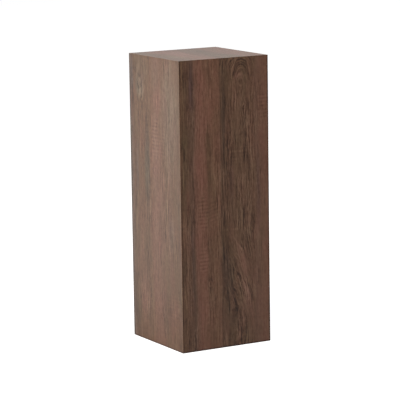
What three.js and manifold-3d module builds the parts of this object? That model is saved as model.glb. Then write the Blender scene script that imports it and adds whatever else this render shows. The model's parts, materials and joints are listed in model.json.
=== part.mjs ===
// A free-standing display plinth: a tall square column of decor-faced board with mitred edges,
// glued to softwood battens, with a recessed base that carries four hidden screw levellers.
// Millimetres, +Z up. The origin is the centre of the footprint at floor level, and -Y is the front.
import * as THREE from "three";
import { mergeVertices } from "three/addons/utils/BufferGeometryUtils.js";
import Module from "manifold-3d";

// ---- Driving dimensions ------------------------------------------------------------------
const WIDTH = 350; // outside, both ways: the section is square
const HEIGHT = 1000; // floor to display surface
const BOARD = 18; // decor-faced board
const GLUE = 0.1; // glue line between two faces
const EDGING = 1; // edging strip under each wall

const BATTEN = 27; // square corner batten
const BATTEN_BEVEL = 3; // clears the glue in the corner
const CLEAT_DEPTH = 20;
const CLEAT_HEIGHT = 27;
const EASING = 1.5; // taken off the inner edge of battens and cleats

const BASE_UNDERSIDE = 19; // the base is set up into the walls
const BASE_THICK = 18;
const BASE_GAP = 0.5; // base to wall

const FOOT_IN = 60; // foot centre, in from both outer faces

// ---- Derived places ----------------------------------------------------------------------
const HALF = WIDTH / 2;
const INNER = HALF - BOARD; // inner face of a wall
const MITRE = (GLUE / 2) * Math.SQRT2; // taken off a 45 degree edge by half a glue line
const MITRE_OUT = HALF - MITRE; // mitre's outer and inner ends, along the wall
const MITRE_IN = INNER - MITRE;
const BASE_TOP = BASE_UNDERSIDE + BASE_THICK;
const BATTEN_OUT = INNER - GLUE;
const BATTEN_IN = BATTEN_OUT - BATTEN;
const BATTEN_MID = (BATTEN_OUT + BATTEN_IN) / 2;
const BATTEN_LOW = BASE_TOP + GLUE;
const BATTEN_HIGH = HEIGHT - BOARD - GLUE;
const CLEAT_IN = BATTEN_OUT - CLEAT_DEPTH;
const CLEAT_MID = BATTEN_OUT - CLEAT_DEPTH / 2;
const CLEAT_HALF_LONG = BATTEN_IN - GLUE;
const FOOT = HALF - FOOT_IN;

// [name, x, y] at the four corners and on the four sides, at a distance from the centre lines.
const atCorners = (distance) => [
  ["front_left", -distance, -distance],
  ["front_right", distance, -distance],
  ["back_right", distance, distance],
  ["back_left", -distance, distance],
];
const atSides = (distance) => [
  ["front", 0, -distance],
  ["right", distance, 0],
  ["back", 0, distance],
  ["left", -distance, 0],
];

// ---- Solids ------------------------------------------------------------------------------
const TURNED_SEGMENTS = 20;
const MERGE_DISTANCE = 1e-4;

const wasm = await Module();
wasm.setup();

// A closed geometry as a manifold-3d solid, turned to face outwards.
function solid(geometry) {
  const loose = geometry.index ? geometry.toNonIndexed() : geometry;
  loose.deleteAttribute("normal");
  loose.deleteAttribute("uv");
  const merged = mergeVertices(loose, MERGE_DISTANCE);
  const index = merged.index.array;

  // Triangles that merging has flattened are left out.
  const triangles = [];
  for (let i = 0; i < index.length; i += 3) {
    const [a, b, c] = index.slice(i, i + 3);
    if (a !== b && b !== c && a !== c) triangles.push([a, b, c]);
  }
  const make = (list) =>
    new wasm.Manifold(
      new wasm.Mesh({
        numProp: 3,
        vertProperties: new Float32Array(merged.attributes.position.array),
        triVerts: new Uint32Array(list.flat()),
      }),
    );
  const made = make(triangles);
  return made.volume() > 0 ? made : make(triangles.map(([a, b, c]) => [a, c, b]));
}

function geometryOf(body) {
  const mesh = body.getMesh();
  const geometry = new THREE.BufferGeometry();
  const positions = new Float32Array(mesh.vertProperties);
  geometry.setAttribute("position", new THREE.BufferAttribute(positions, 3));
  geometry.setIndex(new THREE.BufferAttribute(new Uint32Array(mesh.triVerts), 1));
  geometry.computeVertexNormals();
  return geometry;
}

// Two triangles a face, over corners 0-3 below and 4-7 above.
const HEXAHEDRON_FACES = [
  [0, 2, 1, 0, 3, 2],
  [4, 5, 6, 4, 6, 7],
  [0, 1, 5, 0, 5, 4],
  [1, 2, 6, 1, 6, 5],
  [2, 3, 7, 2, 7, 6],
  [3, 0, 4, 3, 4, 7],
];

// Six flat faces: low holds four points anticlockwise from above, high the four over them.
function hexahedron(low, high) {
  const geometry = new THREE.BufferGeometry();
  const corners = [...low, ...high].flat();
  geometry.setAttribute("position", new THREE.Float32BufferAttribute(corners, 3));
  geometry.setIndex(HEXAHEDRON_FACES.flat());
  return solid(geometry);
}

// A box centred on the Z axis.
function box(halfX, halfY, z0, z1) {
  const geometry = new THREE.BoxGeometry(2 * halfX, 2 * halfY, z1 - z0);
  geometry.translate(0, 0, (z0 + z1) / 2);
  return solid(geometry);
}

// Turned about Z, from [radius, z] points that start and end on the axis or close on themselves.
function turned(points, segments = TURNED_SEGMENTS) {
  const profile = points.map(([radius, z]) => new THREE.Vector2(radius, z));
  const geometry = new THREE.LatheGeometry(profile, segments);
  geometry.rotateX(Math.PI / 2);
  return solid(geometry);
}

// A flat outline of [x, y] points, raised from z0 to z1.
function raised(outline, z0, z1) {
  const shape = new THREE.Shape(outline.map(([x, y]) => new THREE.Vector2(x, y)));
  const geometry = new THREE.ExtrudeGeometry(shape, {
    depth: z1 - z0,
    bevelEnabled: false,
    steps: 1,
  });
  geometry.translate(0, 0, z0);
  return solid(geometry);
}

// ---- Placing -----------------------------------------------------------------------------
const placed = (body, matrix) => body.transform(matrix.elements.slice());
const turnedBy = (angle) => new THREE.Matrix4().makeRotationZ(angle);
const quarterTurn = (k) => turnedBy((k * Math.PI) / 2);

// A matrix that lays X, Y and Z along the three given directions.
const axes = (...directions) =>
  new THREE.Matrix4().makeBasis(
    ...directions.map((direction) => new THREE.Vector3(...direction).normalize()),
  );

// ---- Biscuits ----------------------------------------------------------------------------
const BISCUIT = { length: 56, width: 23, thick: 4, arc: 51 }; // number 20; arc is a radius
const BISCUIT_STEPS = 6; // along each curved edge
const BISCUIT_SET_IN = 13.5; // its centre, in from both outer faces
const SLOT_ROOM = { outline: 0.4, thick: 0.15 }; // slot to biscuit, on every side
const CORNER_BISCUITS = [
  ["low", 170],
  ["mid", 500],
  ["high", 830],
]; // [level, z]

// The lens outline of a biscuit, grown by room all round. Its length lies along X.
function biscuitOutline(room) {
  const { length, width, arc } = BISCUIT;
  const end = length / 2 + room;
  const halfWidth = (x) => Math.sqrt(arc * arc - x * x) - (arc - width / 2) + room;
  const stations = [];
  for (let i = 0; i <= BISCUIT_STEPS; i++) stations.push(-end + (2 * end * i) / BISCUIT_STEPS);
  const near = stations.map((x) => [x, -halfWidth(Math.abs(x))]);
  const far = stations.map((x) => [x, halfWidth(Math.abs(x))]);
  return [...near, ...far.reverse()];
}

function biscuit(outlineRoom = 0, thickRoom = 0) {
  const halfThick = BISCUIT.thick / 2 + thickRoom;
  return raised(biscuitOutline(outlineRoom), -halfThick, halfThick);
}

const slot = biscuit(SLOT_ROOM.outline, SLOT_ROOM.thick);

// Length along Z in the front right corner.
const cornerPlace = (z) =>
  axes([0, 0, 1], [1, 1, 0], [-1, 1, 0]).setPosition(
    HALF - BISCUIT_SET_IN,
    -HALF + BISCUIT_SET_IN,
    z,
  );

// Length along X in the front top edge.
const edgePlace = () =>
  axes([1, 0, 0], [0, 1, 1], [0, -1, 1]).setPosition(
    0,
    -HALF + BISCUIT_SET_IN,
    HEIGHT - BISCUIT_SET_IN,
  );

// ---- Walls and top -----------------------------------------------------------------------
// The front wall's mitred section, with its outer and inner edges at given heights.
const wallSection = (outerZ, innerZ = outerZ) => [
  [-MITRE_OUT, -HALF, outerZ],
  [MITRE_OUT, -HALF, outerZ],
  [MITRE_IN, -INNER, innerZ],
  [-MITRE_IN, -INNER, innerZ],
];

// The front wall. The other three are the same wall, a quarter turn on each time.
function wall() {
  let body = hexahedron(
    wallSection(EDGING + GLUE),
    wallSection(HEIGHT - MITRE, HEIGHT - BOARD - MITRE),
  );
  for (const [, z] of CORNER_BISCUITS) {
    // The front right corner, then the front left.
    for (const k of [0, 3]) {
      body = body.subtract(placed(slot, quarterTurn(k).multiply(cornerPlace(z))));
    }
  }
  return body.subtract(placed(slot, edgePlace()));
}

const edging = () => hexahedron(wallSection(0), wallSection(EDGING));

function topPanel() {
  const square = (half, z) => [
    [-half, -half, z],
    [half, -half, z],
    [half, half, z],
    [-half, half, z],
  ];
  let body = hexahedron(square(MITRE_IN, HEIGHT - BOARD), square(MITRE_OUT, HEIGHT));
  for (let k = 0; k < 4; k++) {
    body = body.subtract(placed(slot, quarterTurn(k).multiply(edgePlace())));
  }
  return body;
}

// ---- Screws ------------------------------------------------------------------------------
// 4.5 mm countersunk screws. Shank, head and tip are radii.
const SCREW = {
  shank: 2.15,
  head: 4.3,
  headEdge: 0.35, // straight rim of the head
  headDeep: 2.9,
  point: 5, // length of the tapered end
  tip: 0.5,
  tipLong: 0.6,
};
const RECESS = { halfLong: 2.1, halfWide: 0.5, deep: 1.7 }; // the cross in the head
const SCREW_ROOM = 0.2; // hole to screw
const SCREW_OVERRUN = 1; // cutters run on past each end
const SCREW_SUNK = 0.05; // head above the underside of the base
const SCREW_SEGMENTS = 12;
const CORNER_SCREW_LONG = 50;
const CLEAT_SCREW_LONG = 40;

// Head down at z = 0, point up, with a cross recess in the head.
function screw(long) {
  const { shank, head, headEdge, headDeep, point, tip, tipLong } = SCREW;
  const { halfLong, halfWide, deep } = RECESS;
  const body = turned(
    [
      [0, 0],
      [head, 0],
      [head, headEdge],
      [shank, headDeep],
      [shank, long - point],
      [tip, long - tipLong],
      [0, long],
    ],
    SCREW_SEGMENTS,
  );
  return body
    .subtract(box(halfLong, halfWide, -SCREW_OVERRUN, deep))
    .subtract(box(halfWide, halfLong, -SCREW_OVERRUN, deep));
}

// The countersunk hole for a screw driven up through the base at x, y.
function screwHole(long, x, y) {
  const shank = SCREW.shank + SCREW_ROOM;
  const head = SCREW.head + SCREW_ROOM;
  return turned(
    [
      [0, -SCREW_OVERRUN],
      [head, -SCREW_OVERRUN],
      [head, SCREW.headEdge + SCREW_ROOM],
      [shank, SCREW.headDeep + SCREW_ROOM],
      [shank, long + SCREW_OVERRUN],
      [0, long + SCREW_OVERRUN],
    ],
    SCREW_SEGMENTS,
  ).translate([x, y, BASE_UNDERSIDE]);
}

// ---- Battens and cleats ------------------------------------------------------------------
// The back right batten, bevelled along the corner it fits into.
function batten() {
  const outline = [
    [BATTEN_IN + EASING, BATTEN_IN],
    [BATTEN_OUT, BATTEN_IN],
    [BATTEN_OUT, BATTEN_OUT - BATTEN_BEVEL],
    [BATTEN_OUT - BATTEN_BEVEL, BATTEN_OUT],
    [BATTEN_IN, BATTEN_OUT],
    [BATTEN_IN, BATTEN_IN + EASING],
  ];
  return raised(outline, BATTEN_LOW, BATTEN_HIGH).subtract(
    screwHole(CORNER_SCREW_LONG, BATTEN_MID, BATTEN_MID),
  );
}

// A front cleat from its [y, z] section: raised along +Z, then laid over to run along X.
const cleat = (section) =>
  placed(
    raised(section, -CLEAT_HALF_LONG, CLEAT_HALF_LONG),
    axes([0, 1, 0], [0, 0, 1], [1, 0, 0]),
  );

// Under the top, its lower inner edge eased.
function topCleat() {
  const low = BATTEN_HIGH - CLEAT_HEIGHT;
  return cleat([
    [-BATTEN_OUT, low],
    [-CLEAT_IN - EASING, low],
    [-CLEAT_IN, low + EASING],
    [-CLEAT_IN, BATTEN_HIGH],
    [-BATTEN_OUT, BATTEN_HIGH],
  ]);
}

// On the base, its upper inner edge eased.
function baseCleat() {
  const high = BATTEN_LOW + CLEAT_HEIGHT;
  return cleat([
    [-BATTEN_OUT, BATTEN_LOW],
    [-CLEAT_IN, BATTEN_LOW],
    [-CLEAT_IN, high - EASING],
    [-CLEAT_IN - EASING, high],
    [-BATTEN_OUT, high],
  ]).subtract(screwHole(CLEAT_SCREW_LONG, 0, -CLEAT_MID));
}

// ---- Levelling feet ----------------------------------------------------------------------
const NUT = { boreR: 4.15, barrelR: 5, flangeR: 11, flangeThick: 1.5, top: 30 };
const PRONG = {
  radius: 8.6, // from the nut's axis
  wide: 4,
  tipWide: 1.2,
  thick: 1.2,
  tall: 7,
  rootDeep: 0.6, // runs down into the flange
};
const NUT_HOLE_ROOM = 0.2;
const NUT_HOLE_OVERRUN = 2;
const PRONG_ROOM = 0.15;

const THREAD_R = 3.95; // M8
const THREAD_CHAMFER = 1;
const NECK_R = 2.6;
const STEM_TOP = 43.5;
const COLLAR = { flats: 13, low: 10.3, top: 16.8 };
const THREAD_LOW = COLLAR.low + 0.5; // within the collar

const PAD_R = 16;
const PAD_LOW = 1.5; // wound right in, the pads hang just clear of the floor
const PAD_TOP = 9.9;
const PAD_MOUTH_R = 2.85;
const PAD_SOCKET = { radius: 4.15, low: 4.1, top: 7.15 };
const PAD_SEGMENTS = 24;

// The four tapered prongs of a tee nut, grown by room for their holes.
function prongs(room) {
  const inner = PRONG.radius - PRONG.thick / 2 - room;
  const outer = PRONG.radius + PRONG.thick / 2 + room;
  const section = (halfWide, z) => [
    [inner, -halfWide, z],
    [outer, -halfWide, z],
    [outer, halfWide, z],
    [inner, halfWide, z],
  ];
  const prong = hexahedron(
    section(PRONG.wide / 2 + room, BASE_UNDERSIDE - PRONG.rootDeep),
    section(PRONG.tipWide / 2 + room, BASE_UNDERSIDE + PRONG.tall + room),
  );
  return [0, 1, 2, 3]
    .map((k) => placed(prong, turnedBy(Math.PI / 4 + (k * Math.PI) / 2)))
    .reduce((all, next) => all.add(next));
}

// Pronged tee nut, its flange under the base so that the load presses it home.
function teeNut() {
  const flangeTop = BASE_UNDERSIDE - GLUE;
  const flangeLow = flangeTop - NUT.flangeThick;
  return turned([
    [NUT.boreR, flangeLow],
    [NUT.flangeR, flangeLow],
    [NUT.flangeR, flangeTop],
    [NUT.barrelR, flangeTop],
    [NUT.barrelR, NUT.top],
    [NUT.boreR, NUT.top],
    [NUT.boreR, flangeLow],
  ]).add(prongs(0));
}

// Threaded stem with a spanner collar, and under it the neck and head that the pad snaps over.
function stem() {
  const shaft = turned([
    // head
    [0, 4.4],
    [3.2, 4.4],
    [3.9, 5.1],
    [3.9, 6.3],
    [3.3, 6.9],
    // neck
    [NECK_R, 6.9],
    [NECK_R, THREAD_LOW],
    // thread
    [THREAD_R, THREAD_LOW],
    [THREAD_R, STEM_TOP - THREAD_CHAMFER],
    [THREAD_R - THREAD_CHAMFER, STEM_TOP],
    [0, STEM_TOP],
  ]);
  const cornerR = COLLAR.flats / 2 / Math.cos(Math.PI / 6);
  const hexagon = [];
  for (let k = 0; k < 6; k++) {
    const angle = (k * Math.PI) / 3;
    hexagon.push([cornerR * Math.cos(angle), cornerR * Math.sin(angle)]);
  }
  return shaft.add(raised(hexagon, COLLAR.low, COLLAR.top));
}

// Round pad, with a socket for the stem's head.
function pad() {
  return turned(
    [
      // outside, from the underside up
      [0, PAD_LOW],
      [PAD_R - 0.8, PAD_LOW],
      [PAD_R, PAD_LOW + 0.8],
      [PAD_R, 4.6],
      [PAD_R - 0.9, 5.6],
      [9.4, 8.2],
      [8.2, PAD_TOP],
      // mouth and socket
      [PAD_MOUTH_R, PAD_TOP],
      [PAD_MOUTH_R, PAD_SOCKET.top],
      [PAD_SOCKET.radius, PAD_SOCKET.top],
      [PAD_SOCKET.radius, PAD_SOCKET.low],
      [0, PAD_SOCKET.low],
    ],
    PAD_SEGMENTS,
  );
}

// ---- Base --------------------------------------------------------------------------------
// The hole for a tee nut's barrel and prongs, on the Z axis.
function nutHole() {
  const radius = NUT.barrelR + NUT_HOLE_ROOM;
  const low = BASE_UNDERSIDE - NUT_HOLE_OVERRUN;
  const high = BASE_TOP + NUT_HOLE_OVERRUN;
  return turned([
    [0, low],
    [radius, low],
    [radius, high],
    [0, high],
  ]).add(prongs(PRONG_ROOM));
}

function basePanel() {
  const half = INNER - BASE_GAP;
  const footHole = nutHole();
  const holes = [
    ...atCorners(FOOT).map(([, x, y]) => footHole.translate([x, y, 0])),
    ...atCorners(BATTEN_MID).map(([, x, y]) => screwHole(CORNER_SCREW_LONG, x, y)),
    ...atSides(CLEAT_MID).map(([, x, y]) => screwHole(CLEAT_SCREW_LONG, x, y)),
  ];
  return holes.reduce(
    (body, hole) => body.subtract(hole),
    box(half, half, BASE_UNDERSIDE, BASE_TOP),
  );
}

// ---- Materials ---------------------------------------------------------------------------
// Each finish makes a fresh material for every part.
const finish = (settings) => () => new THREE.MeshStandardMaterial(settings);
const decor = finish({ color: 0x59423a, roughness: 0.55, metalness: 0 });
const edgeStrip = finish({ color: 0x4f3a31, roughness: 0.5, metalness: 0 });
const chipboard = finish({ color: 0xb08d62, roughness: 0.85, metalness: 0 });
const pine = finish({ color: 0xd2ac77, roughness: 0.75, metalness: 0 });
const beech = finish({ color: 0xc69c6d, roughness: 0.8, metalness: 0 });
const zinc = finish({ color: 0xb9bcc0, roughness: 0.35, metalness: 1 });
const nylon = finish({ color: 0x1c1c1e, roughness: 0.6, metalness: 0 });

// ---- Assembly ----------------------------------------------------------------------------
// Each side and each corner is a quarter turn on from the last.
const SIDES = ["front", "right", "back", "left"];
const CORNERS = ["back_right", "back_left", "front_left", "front_right"];

const plinth = new THREE.Group();

function part(name, geometry, material, parent = plinth) {
  const mesh = new THREE.Mesh(geometry, material());
  mesh.name = name;
  parent.add(mesh);
  return mesh;
}

function addSides() {
  const wallGeometry = geometryOf(wall());
  const edgingGeometry = geometryOf(edging());
  const topCleatGeometry = geometryOf(topCleat());
  const baseCleatGeometry = geometryOf(baseCleat());
  const biscuitGeometry = geometryOf(biscuit());

  SIDES.forEach((side, k) => {
    const turn = new THREE.Group();
    turn.rotation.z = (k * Math.PI) / 2;
    plinth.add(turn);
    part(`${side}_panel`, wallGeometry, decor, turn);
    part(`edge_strip_${side}`, edgingGeometry, edgeStrip, turn);
    part(`top_cleat_${side}`, topCleatGeometry, pine, turn);
    part(`base_cleat_${side}`, baseCleatGeometry, pine, turn);
    part(`biscuit_top_${side}`, biscuitGeometry, beech, turn).applyMatrix4(edgePlace());

    // The corner at this wall's right hand, seen from outside.
    const corner = CORNERS[(k + 3) % 4];
    for (const [level, z] of CORNER_BISCUITS) {
      const name = `biscuit_${corner}_${level}`;
      part(name, biscuitGeometry, beech, turn).applyMatrix4(cornerPlace(z));
    }
  });
}

function addBattens() {
  const geometry = geometryOf(batten());
  CORNERS.forEach((corner, k) => {
    part(`corner_batten_${corner}`, geometry, pine).rotation.z = (k * Math.PI) / 2;
  });
}

function addScrews(kind, long, places) {
  const geometry = geometryOf(screw(long));
  for (const [where, x, y] of places) {
    const mesh = part(`${kind}_screw_${where}`, geometry, zinc);
    mesh.position.set(x, y, BASE_UNDERSIDE + SCREW_SUNK);
  }
}

function addFeet() {
  const nutGeometry = geometryOf(teeNut());
  const stemGeometry = geometryOf(stem());
  const padGeometry = geometryOf(pad());
  for (const [where, x, y] of atCorners(FOOT)) {
    const foot = new THREE.Group();
    foot.position.set(x, y, 0);
    plinth.add(foot);
    part(`tee_nut_${where}`, nutGeometry, zinc, foot);
    part(`foot_stem_${where}`, stemGeometry, zinc, foot);
    part(`foot_pad_${where}`, padGeometry, nylon, foot);
  }
}

addSides();
addBattens();
part("top_panel", geometryOf(topPanel()), decor);
part("base_panel", geometryOf(basePanel()), chipboard);
addScrews("batten", CORNER_SCREW_LONG, atCorners(BATTEN_MID));
addScrews("cleat", CLEAT_SCREW_LONG, atSides(CLEAT_MID));
addFeet();

export default plinth;
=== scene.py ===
import json
import math

import bmesh
import bpy
from mathutils import Matrix, Vector

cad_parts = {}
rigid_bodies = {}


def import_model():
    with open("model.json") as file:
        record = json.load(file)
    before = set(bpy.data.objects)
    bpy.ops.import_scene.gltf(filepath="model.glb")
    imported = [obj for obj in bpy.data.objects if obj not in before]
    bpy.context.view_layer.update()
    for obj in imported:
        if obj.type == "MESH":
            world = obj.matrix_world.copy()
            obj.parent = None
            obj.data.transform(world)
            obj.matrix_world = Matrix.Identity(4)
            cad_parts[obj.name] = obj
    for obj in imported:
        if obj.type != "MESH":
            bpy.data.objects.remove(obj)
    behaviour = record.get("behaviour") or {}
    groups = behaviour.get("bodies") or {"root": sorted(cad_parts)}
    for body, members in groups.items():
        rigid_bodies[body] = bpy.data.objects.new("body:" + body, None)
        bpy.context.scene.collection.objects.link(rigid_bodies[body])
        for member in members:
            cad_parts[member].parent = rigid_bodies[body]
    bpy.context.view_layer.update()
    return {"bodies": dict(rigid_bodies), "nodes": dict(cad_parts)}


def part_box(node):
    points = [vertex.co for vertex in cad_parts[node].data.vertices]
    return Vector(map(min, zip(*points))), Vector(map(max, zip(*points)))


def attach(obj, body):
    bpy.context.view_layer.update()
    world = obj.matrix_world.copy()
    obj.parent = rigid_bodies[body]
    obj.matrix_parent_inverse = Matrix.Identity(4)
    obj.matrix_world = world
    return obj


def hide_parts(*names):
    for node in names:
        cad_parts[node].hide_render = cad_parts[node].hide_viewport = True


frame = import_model()
scene = bpy.context.scene
NODES = frame["nodes"]

# ---- Sizes, in metres, read from the frame ------------------------------------------------
LOW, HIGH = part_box("top_panel")
HEIGHT = HIGH[2]
HALF = round(HIGH[0] * 1000) / 1000  # the top stops a hair short of the corner line
BOARD = HIGH[2] - LOW[2]
GAP = 0.00005 * math.sqrt(2)  # half a glue line, measured along a face
WALL_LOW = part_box("front_panel")[0][2]
STRIP_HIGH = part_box("edge_strip_front")[1][2]
ARRIS = 0.0011

SIDES = ["front", "right", "back", "left"]  # each a quarter turn on from the last
CORNERS = ["front_left", "front_right", "back_left", "back_right"]


def linear(c):
    c = c / 255
    return c / 12.92 if c <= 0.04045 else ((c + 0.055) / 1.055) ** 2.4


def rgb(r, g, b, k=1.0):
    return tuple(linear(x) * k for x in (r, g, b)) + (1.0,)


# ---- A short way to write node trees ------------------------------------------------------
class Tree:
    def __init__(self, name):
        self.mat = bpy.data.materials.new(name)
        self.mat.use_nodes = True
        self.nt = self.mat.node_tree
        self.nt.nodes.clear()
        self.count = 0

    def node(self, kind, **props):
        n = self.nt.nodes.new(kind)
        n.location = (220 * (self.count % 24), -260 * (self.count // 24))
        self.count += 1
        for k, v in props.items():
            setattr(n, k, v)
        return n

    def put(self, value, socket):
        if isinstance(value, bpy.types.NodeSocket):
            self.nt.links.new(value, socket)
        elif value is not None:
            socket.default_value = value

    def math(self, op, a, b=None, c=None, clamp=False):
        n = self.node("ShaderNodeMath", operation=op, use_clamp=clamp)
        for value, socket in zip((a, b, c), n.inputs):
            self.put(value, socket)
        return n.outputs[0]

    def add(self, a, b):
        return self.math("ADD", a, b)

    def sub(self, a, b):
        return self.math("SUBTRACT", a, b)

    def mul(self, a, b):
        return self.math("MULTIPLY", a, b)

    def mad(self, a, b, c):
        return self.math("MULTIPLY_ADD", a, b, c)

    def vec(self, op, a, b=None, c=None, scale=None):
        n = self.node("ShaderNodeVectorMath", operation=op)
        for value, socket in zip((a, b, c), n.inputs):
            self.put(value, socket)
        if scale is not None:
            self.put(scale, n.inputs["Scale"])
        return n.outputs["Value" if op in ("LENGTH", "DOT_PRODUCT", "DISTANCE") else "Vector"]

    def xyz(self, x, y, z=0.0):
        n = self.node("ShaderNodeCombineXYZ")
        for value, socket in zip((x, y, z), n.inputs):
            self.put(value, socket)
        return n.outputs[0]

    def split(self, v):
        n = self.node("ShaderNodeSeparateXYZ")
        self.put(v, n.inputs[0])
        return n.outputs[0], n.outputs[1], n.outputs[2]

    def noise(self, v, scale=1.0, detail=2.0, rough=0.5, distortion=0.0, colour=False):
        n = self.node("ShaderNodeTexNoise", noise_dimensions="3D")
        self.put(v, n.inputs["Vector"])
        n.inputs["Scale"].default_value = scale
        n.inputs["Detail"].default_value = detail
        n.inputs["Roughness"].default_value = rough
        n.inputs["Distortion"].default_value = distortion
        return n.outputs["Color" if colour else "Fac"]

    def cells(self, v, scale=1.0, feature="F1", randomness=1.0, out="Distance"):
        n = self.node("ShaderNodeTexVoronoi", voronoi_dimensions="3D", feature=feature)
        self.put(v, n.inputs["Vector"])
        n.inputs["Scale"].default_value = scale
        n.inputs["Randomness"].default_value = randomness
        return n.outputs[out]

    def ease(self, x, a, b, lo=0.0, hi=1.0, smooth=True):
        n = self.node("ShaderNodeMapRange", interpolation_type="SMOOTHSTEP" if smooth else "LINEAR")
        self.put(x, n.inputs["Value"])
        for value, socket in zip((a, b, lo, hi), list(n.inputs)[1:5]):
            self.put(value, socket)
        return n.outputs["Result"]

    def ramp(self, x, stops, interpolation="EASE"):
        """stops: (position, (r, g, b, a)), at most 32."""
        n = self.node("ShaderNodeValToRGB")
        r = n.color_ramp
        r.interpolation = interpolation
        while len(r.elements) < len(stops):
            r.elements.new(0.5)
        for e, (p, _) in zip(r.elements, stops):
            e.position = p
        for e, (_, c) in zip(r.elements, stops):
            e.color = c
        self.put(x, n.inputs[0])
        return n.outputs["Color"], n.outputs["Alpha"]

    def mix(self, f, a, b, blend="MIX"):
        n = self.node("ShaderNodeMix", data_type="RGBA", blend_type=blend)
        self.put(f, n.inputs[0])
        self.put(a, n.inputs[6])
        self.put(b, n.inputs[7])
        return n.outputs[2]

    def place(self):
        return self.node("ShaderNodeTexCoord").outputs["Object"]

    def bump(self, height, distance, strength=1.0):
        n = self.node("ShaderNodeBump")
        n.inputs["Strength"].default_value = strength
        n.inputs["Distance"].default_value = distance
        self.put(height, n.inputs["Height"])
        return n.outputs[0]

    def finish(self, colour, rough, metal=0.0, normal=None, specular=0.5, ior=1.5):
        b = self.node("ShaderNodeBsdfPrincipled")
        self.put(colour, b.inputs["Base Color"])
        self.put(rough, b.inputs["Roughness"])
        self.put(metal, b.inputs["Metallic"])
        self.put(specular, b.inputs["Specular IOR Level"])
        b.inputs["IOR"].default_value = ior
        if normal is not None:
            self.put(normal, b.inputs["Normal"])
        out = self.node("ShaderNodeOutputMaterial")
        self.nt.links.new(b.outputs[0], out.inputs[0])
        return self.mat


# ---- The woodgrain decor ------------------------------------------------------------------
# Every face has sheet coordinates: u across the grain and v along it, in millimetres.
ALBEDO = 1.12
SHEEN = 0.0155  # what the film's gloss adds to the shade that is seen


def wood(c, k=None):
    k = ALBEDO if k is None else k
    return tuple(max(linear(x) - SHEEN, 0.002) * k for x in c) + (1.0,)


DEEP = (70, 53, 43)
OLIVE = (83, 64, 51)
STONE = (86, 69, 58)
BROWN = (90, 67, 54)
REDDISH = (98, 70, 58)
ROSE = (103, 75, 64)
PLUM = (84, 63, 56)
UMBER = (77, 58, 46)


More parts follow.
